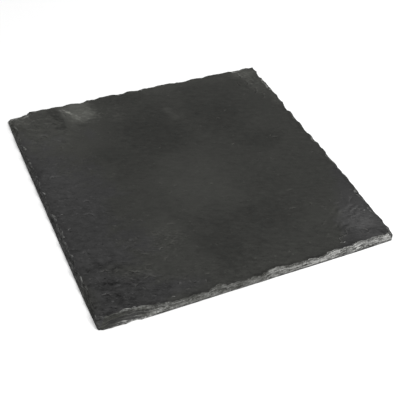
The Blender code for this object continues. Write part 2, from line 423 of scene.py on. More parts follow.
def lay_ring(square, depth, height):
    """A ring of points this far in from the square, following the face's swells."""
    flat = square * (1 - depth / (SIDE / 2))[:, None]
    return np.column_stack([flat, height * (1 + swell(flat) / THICK)])


def side_rings():
    """Rings of points from the underside's outline up to the face, two for each layer, and
    the depth of the last one."""
    run = np.linspace(0, 4 * SIDE, round(4 * SIDE / SIDE_STEP), endpoint=False)
    square = outline(run)
    chips, nibbles = every_chip(), every_nibble()
    worn = corner_wear(run) + foot_dip(run)
    worn = worn + SIDE_WANDER * (0.5 + 0.5 * wander(square, WANDER_LENGTH))
    below = np.zeros_like(run)
    head = worn - LEAST_TREAD
    rings = []
    for layer, top in enumerate(layer_tops(square)):
        shifted = run + SHEAR * wander(square, SHEAR_LENGTH, layer + SHEAR_NOISE)
        middle = inset(shifted, (below + top) / 2, chips, nibbles)
        crisp = patched(square, layer + CRISP_NOISE, *CRISP)
        broken = np.clip(middle / RAGGED_IN_FULL, RAGGED_ON_WALL, 1)
        stray = broken * ragged_edge(square, layer) * (1 if layer else 0)
        at_foot = crisp * middle + (1 - crisp) * inset(shifted, below, chips, nibbles)
        at_head = crisp * middle + (1 - crisp) * inset(shifted, top, chips, nibbles)
        foot = np.maximum(worn + at_foot + stray, head + LEAST_TREAD)
        head = np.maximum(worn + at_head + stray, foot + LEAST_TREAD)
        rings += [lay_ring(square, foot, below), lay_ring(square, head, top)]
        below = top
    return rings, head


def rim_rings(square, arris):
    """Rings on the face just inside the arris, where it falls away a little."""
    rings = []
    for off in RIM_RINGS:
        fall = RIM_FALL * math.exp(-off / RIM_FALL_RUN)
        rings.append(lay_ring(square, arris + off, np.full(len(square), THICK - fall)))
    return rings


def rim_shade(square):
    """How far painted shade darkens the face just inside the arris, from 0 to 1: mostly at
    the front.
    """
    at_front = square[:, 1] < -SIDE / 2 + HAIR
    return patched(square, RIM_NOISE, *RIM_DARK) * np.where(at_front, 1, RIM_SHADE_ELSEWHERE)


def net(reach, step):
    """A net of staggered points that covers a square of this half width, a little shaken."""
    draw = random.Random(SEED)
    shake = NET_SHAKE * step
    rows = np.arange(-reach, reach, step * math.sqrt(3) / 2)
    return [
        (x + step / 2 * (row % 2) + draw.uniform(-shake, shake), y + draw.uniform(-shake, shake))
        for row, y in enumerate(rows)
        for x in np.arange(-reach, reach, step)
    ]


def far_inside(points, ring, clear):
    """The points of a net that lie within a closed ring and clear of it, by angle round it."""
    turn = np.arctan2(ring[:, 1], ring[:, 0])
    order = np.argsort(turn)
    reach = np.abs(ring[:, :2]).max(axis=1)
    turns = [math.atan2(y, x) for x, y in points]
    limit = np.interp(turns, turn[order], reach[order], period=2 * math.pi)
    return [p for p, most in zip(points, limit) if max(abs(p[0]), abs(p[1])) < most - clear]


def every_shell():
    """The shells of the face as (x, y, half width, turn, drop, fray), in metres and radians."""
    draw = random.Random(SEED + 2)
    shells = list(SHELLS)
    for x, y, long, across, count, turn, halves in CROWDS:
        shells += [
            (x + draw.uniform(-long, long), y + draw.uniform(-across, across),
             draw.uniform(*halves), draw.gauss(turn, CROWD_STRAY) + 180 * draw.randrange(2),
             draw.uniform(*SHELL_DROP))
            for _ in range(count)
        ]
    return [
        (x * MM, y * MM, half * MM, math.radians(turn), drop * MM, draw.uniform(0, 2 * math.pi))
        for x, y, half, turn, drop in shells
    ]


def lip_line(share, half, fray):
    """How far out the lip stands at these shares of its half width: bowed, and a bit frayed."""
    waves = sum(high * np.sin(close * share + shift * fray) for high, close, shift in FRAY_WAVES)
    return half * (SHELL_BOW * (1 - share**2) + SHELL_FRAY * waves)


def shell_drop(points, shells):
    """How far the face lies lower at each point because shells sprang off it, and how far it
    is on the edge of a lip (1), pale with wear and painted highlight, or at its foot (-1),
    dark with painted shade."""
    points = np.asarray(points)
    drop = np.zeros(len(points))
    crest = np.zeros(len(points))
    for x, y, half, turn, deep, fray in shells:
        off = points - (x, y)
        near = np.flatnonzero(np.abs(off).max(axis=1) < (SHELL_RUN + 1) * half)
        share = (off[near] @ (math.cos(turn), math.sin(turn))) / half
        inside = lip_line(share, half, fray) - off[near] @ (-math.sin(turn), math.cos(turn))
        bowl = np.sqrt(np.clip(1 - share**2, 0, 1))
        fade = np.clip(1 - inside / (SHELL_RUN * half), 0, 1)
        drop[near] = np.maximum(drop[near], np.where(inside > 0, deep * bowl * fade, 0))
        close = bowl * np.exp(-np.abs(inside) / CREST_RUN) * deep / CREST_FULL
        crest[near] += np.where(inside > 0, -close, close)
    return drop, crest


def tree_of(points):
    """A search tree of these points of the plane."""
    tree = KDTree(len(points))
    for i, (x, y) in enumerate(points):
        tree.insert((x, y, 0), i)
    tree.balance()
    return tree


def lips(shells):
    """Points along both edges of every lip, none of them close to another."""
    found = []
    for x, y, half, turn, _, fray in shells:
        share = np.linspace(-1, 1, max(LEAST_LIP, round(2 * half / LIP_STEP)))
        for back in (-LIP_OVER, LIP_WIDTH):
            along = share * half
            ahead = lip_line(share, half, fray) - back
            found += zip(x + along * math.cos(turn) - ahead * math.sin(turn),
                         y + along * math.sin(turn) + ahead * math.cos(turn))
    tree = tree_of(found)
    return [
        point for i, point in enumerate(found)
        if min(near[1] for near in tree.find_range((*point, 0), LIP_CLEAR)) == i
    ]


def clear_of(points, others, clear):
    """The points that stand clear of all the others."""
    tree = tree_of(others)
    return [p for p in points if tree.find((*p, 0))[2] > clear]


def sheet(ring, step, extra=()):
    """The points inside a closed ring and the triangles that fill it: a net, kept clear of the
    ring and of any extra points. The ring's own points are counted first."""
    inner = far_inside(net(SIDE / 2, step), ring, step)
    if extra:
        extra = far_inside(extra, ring, LIP_WIDTH)
        inner = clear_of(inner, extra, NET_CLEAR) + extra
    flat = [Vector(p[:2]) / MM for p in ring] + [Vector(p) / MM for p in inner]
    loop = [(i, (i + 1) % len(ring)) for i in range(len(ring))]
    inside_only, same_point = 1, 1e-4
    points, _, faces, _, _, _ = delaunay_2d_cdt(flat, loop, [], inside_only, same_point)
    if len(points) != len(flat):
        raise ValueError("two points of the net fell together")
    return inner, faces


def bands(levels, count):
    """The faces between rings of this many points that lie one above the other."""
    faces = []
    for low in range(0, (levels - 1) * count, count):
        for i in range(count):
            j = (i + 1) % count
            faces.append((low + i, low + j, low + count + j, low + count + i))
    return faces


def sewn_on(faces, count, edge, inner):
    """A sheet's faces with their points counted anew: its ring's from edge, the rest from inner."""
    shift = inner - count
    return [tuple(v + edge if v < count else v + shift for v in face) for face in faces]


def slab_mesh():
    """The closed plate: its underside, its sides layer by layer, its rim and its face."""
    sides, arris = side_rings()
    count = len(arris)
    square = outline(np.linspace(0, 4 * SIDE, count, endpoint=False))
    rings = sides + rim_rings(square, arris)
    points = [tuple(p) for ring in rings for p in ring]
    faces = bands(len(rings), count)

    under, under_faces = sheet(rings[0], UNDER_STEP)
    faces += [face[::-1] for face in sewn_on(under_faces, count, 0, len(points))]
    points += [(x, y, 0.0) for x, y in under]

    shells = every_shell()
    face, face_faces = sheet(rings[-1], FACE_STEP, lips(shells))
    faces += sewn_on(face_faces, count, (len(rings) - 1) * count, len(points))
    rise, on_wrinkle = wrinkles(face)
    drop, on_lip = shell_drop(face, shells)
    heights = THICK + swell(face) + rise - drop
    points += [(x, y, height) for (x, y), height in zip(face, heights)]

    mesh = bpy.data.meshes.new("slab")
    mesh.from_pydata(points, [], faces)
    mesh.validate()
    mark_cleft(mesh, len(sides) * count, len(rings) * count, len(under))
    mark_broken(mesh, (len(sides) - 1) * count)
    mark_crests(mesh, len(sides) * count, rim_shade(square), on_wrinkle + on_lip)
    return mesh


def mark(mesh, name, value, on="POINT"):
    """Give every point or face a value that the relief or the stone reads."""
    layer = mesh.attributes.new(name, "FLOAT", on)
    layer.data.foreach_set("value", value.astype(np.float32))


def mark_crests(mesh, side_points, shade, face_crests):
    """Where the face is pale on a crest (1), from wear and painted highlight, or dark in a
    hollow (-1) from painted shade, and its rim darkened by painted shade.
    """
    crest = np.zeros(len(mesh.vertices), np.float32)
    crest[-len(face_crests):] = face_crests
    rim = slice(side_points, side_points + RIM_SHADED * len(shade))
    crest[rim] = np.tile(-RIM_SHADE * shade, RIM_SHADED)
    mark(mesh, "crest", crest)


def mark_cleft(mesh, side_points, ring_points, under_points):
    """Where the cleft relief goes: down from the face (-1), up into the underside (1)."""
    value = np.zeros(len(mesh.vertices), np.float32)
    ring = side_points // (2 * len(LAYER_TOPS))
    value[side_points:ring_points] = -np.repeat(np.linspace(*RIM_CLEFT, len(RIM_RINGS)), ring)
    value[ring_points:ring_points + under_points] = 1
    value[ring_points + under_points:] = -1
    mark(mesh, "cleft", value)


def round_outline(x, y):
    """Which side each point lies nearest to, and how far round the outline it is."""
    side = np.select([np.abs(x) < -y, np.abs(y) <= x, np.abs(x) < y], [0, 1, 2], 3)
    along = np.select([side == 0, side == 1, side == 2], [x, y, -x], -y)
    return side, (side + 0.5) * SIDE + along


def dust_marks(up, centre):
    """How dusty the broken stone is on each face, given the rise of its normal and its centre:
    by place round the outline, less far in, and in spots on three sides. Where it is steep by
    the arris of the right and back sides, dust gives way to the dark foot colour as painted shade."""
    x, y = centre[:, 0], centre[:, 1]
    side, run = round_outline(x, y)
    places, *shares = zip(*DUST)
    marks = {}
    for name, share in zip(DUST_NAMES, shares):
        marks[name] = np.interp(run / MM, places, share)
    marks["foot_top"] *= MM
    # Steep faces near the arris of the right and back sides take the dark foot colour: painted
    # shade.
    gentle = np.clip((up - STEEP[0]) / (STEEP[1] - STEEP[0]), 0, 1)
    gentle[(side == 0) | (side == 3) | (centre[:, 2] < STEEP_SHADE_FROM)] = 1
    marks["foot_top"] += (1 - gentle) * 2 * THICK
    spots = np.where(side == 0, 1.0, 0.0)
    others = np.flatnonzero(side > 0)
    spots[others] = patched(centre[others, :2], SPOT_NOISE, *SPOTTED, THICKEST_SPOT)
    lip = marks["dusty_lip"] * (gentle * spots)
    outwards = np.interp(np.maximum(np.abs(x), np.abs(y)), DUST_EDGE, (0, 1))
    marks["dusty_lip"] = outwards * (lip - DUST_WITHIN) + DUST_WITHIN
    marks["off_front"] = np.where(side == 0, 0.0, 1.0)
    return marks


def mark_broken(mesh, side_faces):
    """How far each face is a broken one and not a cleft one, and how dusty the break is. The
    faces of the sides come first."""
    count = len(mesh.polygons)
    normal = np.empty(3 * count, np.float32)
    centre = np.empty(3 * count, np.float32)
    mesh.polygons.foreach_get("normal", normal)
    mesh.polygons.foreach_get("center", centre)
    up = normal.reshape(-1, 3)[:, 2]
    broken = np.where(up < DOWNWARDS, 0, np.clip((FLAT - up) / STEEPENS, 0, 1))
    broken[:side_faces] = np.clip((SIDE_FLAT - up[:side_faces]) / SIDE_STEEPENS, 0, 1)
    mark(mesh, "broken", broken, "FACE")
    for name, value in dust_marks(up, centre.reshape(-1, 3)).items():
        mark(mesh, name, value, "FACE")


# ---- Node trees --------------------------------------------------------------------

def add(tree, kind, inputs=None, **settings):
    """A node of this kind, its inputs set to values or joined to other nodes' sockets."""
    made = tree.nodes.new(kind)
    for name, value in settings.items():
        setattr(made, name, value)
    for key, value in (inputs or {}).items():
        if isinstance(value, bpy.types.NodeSocket):
            tree.links.new(value, made.inputs[key])
        else:
            made.inputs[key].default_value = value
    return made


def maths(tree, operation, *values):
    """The result of a Math node."""
    return add(tree, "ShaderNodeMath", dict(enumerate(values)), operation=operation).outputs[0]


def vectors(tree, operation, *values):
    """The vector that a Vector Math node makes."""
    made = add(tree, "ShaderNodeVectorMath", dict(enumerate(values)), operation=operation)
    return made.outputs[0]


def attribute(tree, name):
    """A value that the mesh carries."""
    return add(tree, "ShaderNodeAttribute", attribute_name=name).outputs["Fac"]


def noise_field(tree, place, seed, detail, roughness=0.5):
    """Noise between 0 and 1 in bumps of length 1."""
    return add(
        tree, "ShaderNodeTexNoise",
        {"Vector": place, "W": seed, "Scale": 1.0, "Detail": detail, "Roughness": roughness},
        noise_dimensions="4D",
    ).outputs[0]


def grain(tree, place, name):
    """One of the stone's patterns, between 0 and 1."""
    sizes, seed, detail, roughness = GRAINS[name]
    stretched = vectors(tree, "MULTIPLY", place, tuple(1 / (size * MM) for size in sizes))
    return noise_field(tree, stretched, seed, detail, roughness)


def ramp(tree, value, low, high, to_low=0.0, to_high=1.0):
    """A smooth step from one value to another."""
    return add(
        tree, "ShaderNodeMapRange",
        {"Value": value, "From Min": low, "From Max": high, "To Min": to_low, "To Max": to_high},
        interpolation_type="SMOOTHSTEP",
    ).outputs[0]


# The cleft relief's own sizes.
CLEFT = {
    "Step Height": 0.11 * MM,
    "Step Length": 46 * MM,
    "Step Width": 17 * MM,
    "Ripple Height": 0.05 * MM,
    "Ripple Length": 7 * MM,
    "Ripple Width": 3.2 * MM,
    "Seed": 3.0,
}
TREADS = 7.0  # how many steps the noise is cut into
TREAD_LIP = (0.78, 1.0)  # between these shares of a step it climbs to the next
FLIGHT = 3.0  # after this many steps it starts again
STEP_DETAIL = 3.0
RIPPLE_DETAIL = 2.0
RIPPLE_SEED = 9.0  # added to the seed
SHARP_EDGE = math.radians(38)  # a sharper edge than this stays sharp


def cleft_bumps(tree, given, kind, seed, detail):
    """Noise over the slab, in bumps whose size the tree's inputs for this kind give."""
    long, across = given[kind + " Length"], given[kind + " Width"]
    size = add(tree, "ShaderNodeCombineXYZ", {0: long, 1: across, 2: long}).outputs[0]
    place = add(tree, "GeometryNodeInputPosition").outputs[0]
    even = vectors(tree, "DIVIDE", place, size)
    return noise_field(tree, even, maths(tree, "ADD", given["Seed"], seed), detail)


def cleft_depth(tree, given):
    """How deep the steps and the ripples go together."""
    hills = cleft_bumps(tree, given, "Step", 0.0, STEP_DETAIL)
    hills = maths(tree, "MULTIPLY", hills, TREADS)
    whole = maths(tree, "FLOOR", hills)
    lip = ramp(tree, maths(tree, "SUBTRACT", hills, whole), *TREAD_LIP)
    treads = maths(tree, "MODULO", maths(tree, "ADD", whole, lip), FLIGHT)
    steps = maths(tree, "MULTIPLY", treads, given["Step Height"])
    ripples = cleft_bumps(tree, given, "Ripple", RIPPLE_SEED, RIPPLE_DETAIL)
    ripples = maths(tree, "MULTIPLY", ripples, given["Ripple Height"])
    return maths(tree, "ADD", steps, ripples)


def cleft_tree():
    """Geometry Nodes that lay thin cleavage steps and ripples on the cleft faces."""
    tree = bpy.data.node_groups.new("cleft relief", "GeometryNodeTree")
    face = tree.interface
    face.new_socket("Slab", in_out="INPUT", socket_type="NodeSocketGeometry")
    for name in CLEFT:
        face.new_socket(name, in_out="INPUT", socket_type="NodeSocketFloat")
    face.new_socket("Stone", in_out="INPUT", socket_type="NodeSocketMaterial")
    face.new_socket("Slab", in_out="OUTPUT", socket_type="NodeSocketGeometry")
    given = add(tree, "NodeGroupInput").outputs
    cleft = add(tree, "GeometryNodeInputNamedAttribute", {"Name": "cleft"}, data_type="FLOAT")
    lift = maths(tree, "MULTIPLY", cleft_depth(tree, given), cleft.outputs[0])
    offset = add(tree, "ShaderNodeCombineXYZ", {2: lift}).outputs[0]
    moved = add(tree, "GeometryNodeSetPosition", {"Geometry": given["Slab"], "Offset": offset})
    real = add(tree, "GeometryNodeRealizeInstances", {0: moved.outputs[0]})
    dressed = add(tree, "GeometryNodeSetMaterial",
                  {"Geometry": real.outputs[0], "Material": given["Stone"]})
    add(tree, "NodeGroupOutput", {"Slab": dressed.outputs[0]})
    return tree


def cleave(slab, stone):
    """The slab with its cleft relief laid on, as a plain mesh."""
    tree = cleft_tree()
    relief = slab.modifiers.new("relief", "NODES")
    relief.node_group = tree
    values = {**CLEFT, "Stone": stone}
    for socket in tree.interface.items_tree:
        if socket.in_out == "INPUT" and socket.name in values:
            relief[socket.identifier] = values[socket.name]
    graph = bpy.context.evaluated_depsgraph_get()
    plain = bpy.data.meshes.new_from_object(slab.evaluated_get(graph), depsgraph=graph)
    slab.modifiers.clear()
    slab.data = plain
    plain.name = "slab"
    plain.shade_smooth()
    plain.set_sharp_from_angle(angle=SHARP_EDGE)


# ---- Stone -------------------------------------------------------------------------

# Every pattern in the stone: the size of its bumps in millimetres along the grain, across it
# and upwards, its seed, how much finer detail it has, and how rough that is.
GRAINS = {
    "clouds": ((34, 22, 9), 1.0, 3.0, 0.5),
    "mottle": ((7, 3.5, 2), 2.0, 4.0, 0.62),
    "streaks": ((12, 1.1, 1), 3.0, 2.0, 0.5),
    "fine": ((1.3, 0.9, 0.9), 4.0, 2.0, 0.6),
    "layers": ((13, 13, 1.0), 5.0, 3.0, 0.6),
    "crumbs": ((1.7, 1.7, 1.7), 6.0, 3.0, 0.6),
    "lumps": ((6, 6, 2.4), 7.0, 2.0, 0.5),
    "pit_shade": ((2.4, 2.4, 1.3), 8.0, 2.0, 0.6),
    "blotches": ((8, 5.5, 4), 9.0, 2.0, 0.5),
    "hues": ((20, 14, 9), 11.0, 2.0, 0.6),
    "crowds of dashes": ((22, 15, 9), 21.0, 2.0, 0.5),
    "light dashes": ((2.6, 0.8, 0.8), 22.0, 1.0, 0.5),
    "dark dashes": ((3.0, 0.9, 0.9), 23.0, 1.0, 0.5),
    "scratches": ((3.4, 0.9, 0.9), 24.0, 3.0, 0.7),
}
LINEATION = math.radians(-20)  # the grain of the cleft faces runs this far round from X

# Colours, and how far each pattern makes the cleft stone lighter and darker.
OLIVE = (0.0256, 0.0259, 0.0234, 1.0)
BLUE_GREY = (0.0257, 0.0256, 0.0256, 1.0)
# The foot: bare cut stone darkened by painted contact shade; steep stone and pit marks take it too.
SHADED_FOOT_STONE = (0.012, 0.0123, 0.0115, 1.0)
GREEN_BREAK = (0.040, 0.041, 0.035, 1.0)
GREY_BREAK = (0.040, 0.040, 0.040, 1.0)
PALE_BREAK = (0.46, 0.46, 0.445, 1.0)
CLOUDY = 0.35
BLOTCHY = (-118 * MM, -80 * MM, 0.6, 0.1)  # at the left side, and further right
MARKED = (("mottle", 1.50), ("streaks", 0.45), ("fine", 0.70))
SPECKED = 0.5
SCRAPED = 3.0

# Ramps. Each gives two values of a pattern, and what they lead to where that isn't 0 and 1.
CROWDED = (0.40, 0.66, 0.15, 1.0)
MORE_LEFT = (-80 * MM, -20 * MM, 0.10, 0.0)  # more dashes at the left
DASH = (0.62, 0.74)
SPECK = (0.03, 0.08, 1.0, 0.0)
RARE = (0.55, 0.75)
WEAR_AND_PAINTED_LIGHT = (0.34, 0.62, 0.25, 0.95)
SCRATCHED = (0.44, 0.70)
DUSTED = (0.2, 0.5, 0.75, 1.0)
# Where pit marks of painted shade darken the broken stone.
PIT_SHADE = (0.50, 0.40)
COVERED = (0.39, 0.61)
PALE_CRUMB = (0.55, 0.72)

# Light dashes are painted highlight and dark dashes painted shade of tiny steps in the grain.
LIGHT_DASH = 0.8
DARK_DASH = 0.55
SPECK_SPACING = 15 * MM

# How far the soft patches are bent out of shape, and over which length.
BEND = 40 * MM
BEND_LENGTH = 24 * MM
BEND_DETAIL = 3.0

# Where olive turns to blue grey: left of a border that leans over behind the middle, and
# beyond a slanting one in the front right corner. Both borders stray.
BLUE_LEFT = (-84 * MM, -50 * MM, 1.0, 0.0)
BLUE_LEAN = 0.6
BLUE_LEANS_FROM = 10 * MM
BLUE_CORNER = (136 * MM, 148 * MM)
BLUE_SLANT = -0.56
BLUE_STRAY = 110 * MM
BLUE_STRAY_AT_CORNER = 0.3  # share of it

# The broken stone, from the foot up. The dust covers it by its layers, crumbs and lumps.
FOOT_RAGGED = 2.0 * MM
FOOT_BLEND = 0.5 * MM  # over this height the foot of a side gives way to the rest of it
LIP_BOTTOM = (5.0 * MM, 5.6 * MM)
COVER = (("layers", 0.45), ("crumbs", 0.30), ("lumps", 0.25))
COVER_RISE = 1.6
COVER_LEAST = 0.15
CRUMB_RISE = 0.6
MOST_DUST = 0.34  # the palest spot on the other sides, as a share of the palest at the front

# The surface: roughness where it is smoothest, and what the mottle and a break add to it; the
# shine of cleft stone, and what a break adds to that; and the fine bumps.
ROUGHNESS = (0.56, 0.16, 0.2)
SHINE = (0.16, -0.12)
BUMP_DEPTH = 0.06 * MM
BUMPS = (("mottle", 0.8), ("streaks", 0.5), ("dashes", 1.2))

# Soft patches of the face: centre, half length and half width, how far the length turns from
# X in degrees, how much lighter or darker, and how ragged the edge is.
PATCHES = (
    ("middle sheen", 0, -11, 46, 42, 0, 0.23, 0.5),
    ("dark behind the middle", -6, 58, 34, 44, 0, -0.26, 0.6),
    ("dark back right", 56, 66, 32, 46, 0, -0.24, 0.6),
    ("dark left of the middle", -44, 30, 24, 30, 0, -0.14, 0.6),
    ("dark right", 77, 17, 26, 14, 0, -0.20, 0.6),
    ("dark right of the middle", 78, -34, 52, 34, 0, -0.08, 0.6),
    ("dark front", -10, -82, 30, 38, 0, -0.26, 0.6),
    ("dark front middle", 40, -68, 34, 30, 0, -0.22, 0.6),
    ("light front left", -48, -54, 15, 14, 0, 0.17, 0.8),
    ("light streak", -34, -90, 18, 10, 90, 0.06, 1.0),
    ("light back left", -91, 91, 46, 45, 0, 0.42, 1.2),
    ("pale round the scuff", -61, 107, 18, 20, 0, 1.35, 1.6),
    ("dark beside the scuff", -83, 102, 16, 6, 80, -0.50, 1.4),
    ("light left", -105, 28, 30, 46, 0, 0.21, 1.0),
    ("light spot", 15, 81, 6, 6, 0, 0.35, 0.8),
    ("light back edge right", 82, 122, 52, 13, 0, 0.24, 0.8),
    ("light back edge", 12, 122, 52, 10, 0, 0.30, 0.8),
    ("light back edge left", -80, 121, 38, 12, 0, 0.34, 0.8),
    ("light back left corner", -116, 116, 15, 12, 0, 0.70, 1.0),
    ("light right edge", 121.5, 82, 7, 36, 0, 0.50, 0.8),
    ("light by the back right corner", 121, 104, 8, 16, 0, 0.80, 1.4),
    # The fringe and dark streaks over the front are painted shade where the face falls to the
    # arris.
    ("fringe over the front", 112, -118.8, 11, 2.2, -11, -0.42, 0.8),
    ("dark streaks over the front", 92, -118.5, 8, 2.6, 0, -0.30, 1.4),
    ("front left corner", -98, -104, 30, 22, 0, -0.20, 0.8),
    ("dark front left", -110, -76, 24, 20, 0, -0.10, 0.8),
    ("dark spots", -105, -72, 13, 4, -20, -0.34, 0.9),
    ("lower dark spot", -108, -90, 9, 6, -20, -0.30, 0.7),
    ("dark strokes", -102, -103, 12, 3, -20, -0.20, 1.2),
    ("olive streak", -88, -87, 13, 3, -20, -0.22, 0.8),
    ("dark spot left", -119, 40, 6, 8, 0, -0.40, 1.2),
    ("front right corner", 112, -103, 26, 44, 0, 0.38, 1.4),
    ("palest front right", 104, -106, 13, 10, -20, 0.42, 2.0),
    ("back right corner", 112, 104, 14, 18, 0, 0.34, 1.6),
    ("back right tip", 108, 115, 14, 8, 0, 0.60, 1.0),
)
PATCH_FADE = (0.2, 1.2)  # a patch fades out between these shares of its size
ABOVE = (1 * MM, 3 * MM)  # patches and scuffs set in between these heights

# Scuffs, where the face is scraped pale in fine dashes, in the same form.
SCUFFS = (
    ("scuff core", -71.5, 110, 7, 2.4, -62, 1.6, 0.4),
    ("scuff", -70, 107, 17, 3.6, -62, 1.2, 0.6),
    ("beside the scuff", -56, 103, 15, 10, -66, 0.7, 1.0),
    ("dashes beside the scuff", -32, 96, 12, 16, 0, 0.30, 1.0),
    ("left corner scrape", -117, 113, 12, 8, 20, 0.75, 1.0),
    ("front left scrapes", -80, -90, 22, 7, -20, 0.30, 1.0),
    ("light scrapes", -50, -66, 22, 20, 0, 0.28, 1.0),
    ("back right scrapes", 110, 96, 8, 26, 8, 0.45, 1.0),
    ("back right tip scrapes", 108, 113, 14, 8, 0, 0.50, 1.0),
    ("front right scrapes", 104, -98, 17, 18, 24, 0.42, 1.0),
)

# Where it is blue grey (positive) or olive (negative) apart from the two broad areas.
HUES = (
    ("blue over the front left", -58, -111, 28, 11, -6, 0.9, 0.8),
    ("olive streak", -88, -84, 20, 9, -20, -0.9, 0.8),
    ("olive by the front left corner", -122, -96, 7, 20, 0, -0.7, 0.8),
    ("blue back left", -92, 76, 9, 8, 0, 0.5, 0.8),
    ("blue below the scuff", -63, 76, 6, 9, 0, 0.7, 1.0),
)

# Where the grain of the cleft stone is livelier than over the middle, in the same form.
CALM = 0.55
LIVELY = (
    ("left side", -125, 0, 54, 400, 0, 0.50, 0.3),
    ("front side", 0, -125, 400, 34, 0, 0.45, 0.3),
    ("front left", -86, -95, 50, 38, 0, 0.40, 0.5),
    ("front right corner", 110, -105, 28, 28, 0, 0.80, 0.5),
    ("back side", 0, 125, 400, 18, 0, 0.30, 0.3),
    ("right side", 125, 0, 14, 400, 0, 0.30, 0.3),
    ("back left corner", -98, 108, 42, 24, 0, 0.50, 0.5),
    ("back right corner", 112, 110, 18, 24, 0, 0.40, 0.5),
)


def soft_patches(tree, place, ragged, patches):
    """How much lighter or darker all these soft patches together make the stone."""
    total = 0.0
    for name, x, y, long, across, turn, gain, fray in patches:
        centred = add(
            tree, "ShaderNodeMapping",
            {"Vector": place, "Location": (x * MM, y * MM, 0),
             "Rotation": (0, 0, math.radians(turn)), "Scale": (long * MM, across * MM, 1)},
            vector_type="TEXTURE", label=name,
        ).outputs[0]
        flat = vectors(tree, "MULTIPLY", centred, (1, 1, 0))
        away = add(tree, "ShaderNodeVectorMath", {0: flat}, operation="LENGTH").outputs["Value"]
        frayed = maths(tree, "MULTIPLY_ADD", ragged, fray, away)
        share = ramp(tree, frayed, *PATCH_FADE, gain, 0.0)
        total = maths(tree, "ADD", share, total)
    return total


def blueness(tree, place):
    """Where olive slate turns blue grey: towards the left and at the front right corner."""
    ragged = maths(tree, "SUBTRACT", grain(tree, place, "hues"), 0.5)
    stray = maths(tree, "MULTIPLY", ragged, BLUE_STRAY)
    x, y, _ = add(tree, "ShaderNodeSeparateXYZ", {0: place}).outputs
    behind = maths(tree, "MAXIMUM", y, BLUE_LEANS_FROM)
    leaning = maths(tree, "MULTIPLY_ADD", behind, BLUE_LEAN, x)
    left = ramp(tree, maths(tree, "ADD", leaning, stray), *BLUE_LEFT)
    slant = maths(tree, "MULTIPLY_ADD", y, BLUE_SLANT, x)
    beyond = maths(tree, "MULTIPLY_ADD", stray, BLUE_STRAY_AT_CORNER, slant)
    broad = maths(tree, "MAXIMUM", left, ramp(tree, beyond, *BLUE_CORNER))
    blue = maths(tree, "ADD", broad, soft_patches(tree, place, ragged, HUES))
    return maths(tree, "MAXIMUM", maths(tree, "MINIMUM", blue, 1.0), 0.0)


def blended(tree, factor, one, other):
    """A colour between these two."""
    return add(tree, "ShaderNodeMix", {"Factor": factor, "A": one, "B": other},
               data_type="RGBA").outputs["Result"]


def between(tree, factor, one, other):
    """A value between these two."""
    return add(tree, "ShaderNodeMix", {"Factor": factor, "A": one, "B": other}).outputs["Result"]


def stirred(tree, tone, pattern, amount):
    """The tone made lighter and darker by a pattern, by this much from end to end."""
    return maths(tree, "MULTIPLY_ADD", maths(tree, "SUBTRACT", pattern, 0.5), amount, tone)


def flecks(tree, along):
    """Short light and dark dashes along the grain, painted highlight and painted shade of tiny
    steps, crowded in places, and rare pale specks.
    """
    x = add(tree, "ShaderNodeSeparateXYZ", {0: along}).outputs["X"]
    crowd = grain(tree, along, "crowds of dashes")
    crowd = ramp(tree, maths(tree, "ADD", crowd, ramp(tree, x, *MORE_LEFT)), *CROWDED)
    light = ramp(tree, grain(tree, along, "light dashes"), *DASH)
    light = maths(tree, "MULTIPLY", light, LIGHT_DASH)
    dark = ramp(tree, grain(tree, along, "dark dashes"), *DASH)
    dark = maths(tree, "MULTIPLY", dark, DARK_DASH)
    dashes = maths(tree, "MULTIPLY", maths(tree, "SUBTRACT", light, dark), crowd)
    cells = add(tree, "ShaderNodeTexVoronoi", {"Vector": along, "Scale": 1 / SPECK_SPACING},
                voronoi_dimensions="2D")
    rare = add(tree, "ShaderNodeSeparateColor", {0: cells.outputs["Color"]}).outputs["Red"]
    specks = maths(tree, "MULTIPLY", ramp(tree, cells.outputs["Distance"], *SPECK),
                   ramp(tree, rare, *RARE))
    return dashes, specks


def dust_cover(tree, place, crumbs, share, off_front):
    """How far dust covers the broken stone, where this share of it is dusty."""
    patterns = {"crumbs": crumbs}
    for name in ("layers", "lumps"):
        patterns[name] = grain(tree, place, name)
    (first, amount), *others = COVER
    cover = maths(tree, "MULTIPLY", patterns[first], amount)
    for name, amount in others:
        cover = maths(tree, "MULTIPLY_ADD", patterns[name], amount, cover)
    cover = maths(tree, "MULTIPLY_ADD", ramp(tree, cover, *COVERED), COVER_RISE, COVER_LEAST)
    cover = maths(tree, "MULTIPLY_ADD", ramp(tree, crumbs, *PALE_CRUMB), CRUMB_RISE, cover)
    most = maths(tree, "MULTIPLY_ADD", off_front, MOST_DUST - 1.0, 1.0)
    return maths(tree, "MINIMUM", maths(tree, "MULTIPLY", cover, share), most)


